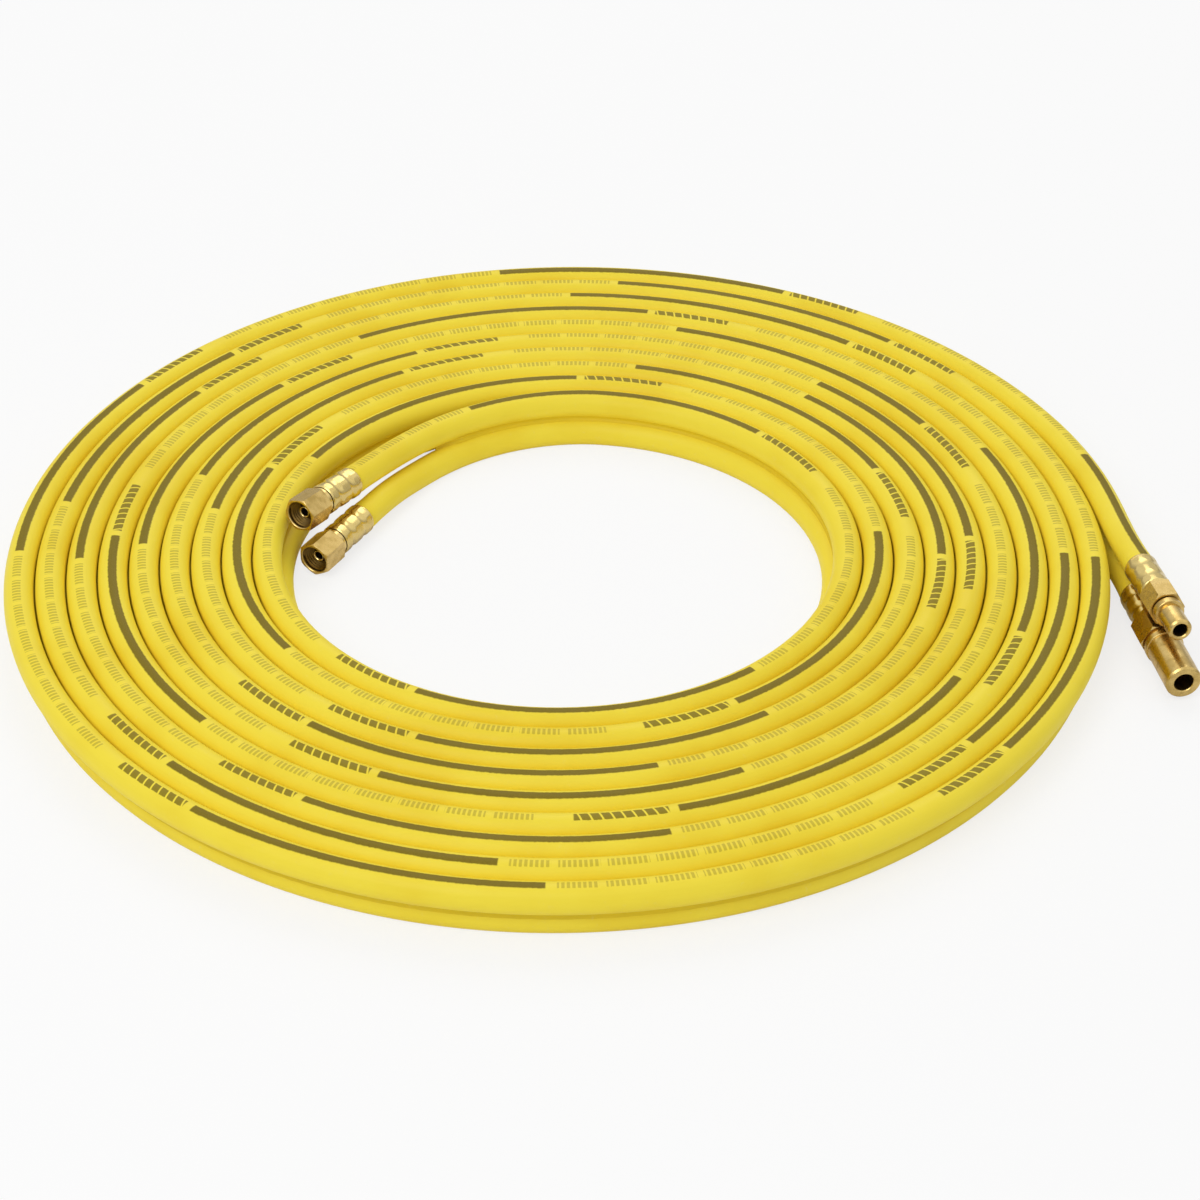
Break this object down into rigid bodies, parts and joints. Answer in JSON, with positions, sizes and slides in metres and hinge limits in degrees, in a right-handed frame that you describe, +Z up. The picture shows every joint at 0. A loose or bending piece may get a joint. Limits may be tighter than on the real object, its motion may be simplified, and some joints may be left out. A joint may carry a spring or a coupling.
{
  "type": "coiled twin-line air hose",
  "caption": "Bonded twin-line rubber air hose wound flat in a spiral, with brass swivel-nut fittings at the inner end and male fittings at the outer end.",
  "frame": {"origin": "on the floor, at the middle of the whole footprint; the coil's own centre lies 11.7 mm towards -X and 2.6 mm towards -Y of it", "axes": "+Z up, square to the flat coil; -Y the way the two swivel nuts open; +X towards the outer end's male fittings"},
  "size_m": [0.4059, 0.3824, 0.0265],
  "materials": {
    "hose_rubber": "satin",
    "web_rubber": "satin",
    "brass_turned": "turned, lightly tarnished",
    "brass_crimped": "crimped, satin"
  },
  "bodies": {
    "hose_assembly": {"upper_hose_line": "hose_rubber", "lower_hose_line": "hose_rubber", "bond_web": "web_rubber", "upper_female_stem": "brass_turned", "lower_female_stem": "brass_turned", "upper_female_ferrule": "brass_crimped", "lower_female_ferrule": "brass_crimped", "upper_male_body": "brass_turned", "lower_male_body": "brass_turned", "upper_male_ferrule": "brass_crimped", "lower_male_ferrule": "brass_crimped"},
    "upper_nut": {"upper_swivel_nut": "brass_turned"},
    "lower_nut": {"lower_swivel_nut": "brass_turned"}
  },
  "joints": [
    {"name": "upper_nut_swivel", "type": "hinge", "parent": "hose_assembly", "child": "upper_nut", "pos_m": [-0.0963, -0.0393, 0.0204], "axis": [0.0448, 0.995, -0.0895], "continuous": true},
    {"name": "lower_nut_swivel", "type": "hinge", "parent": "hose_assembly", "child": "lower_nut", "pos_m": [-0.0887, -0.043, 0.00655], "axis": [0, 1, 0], "continuous": true}
  ]
}
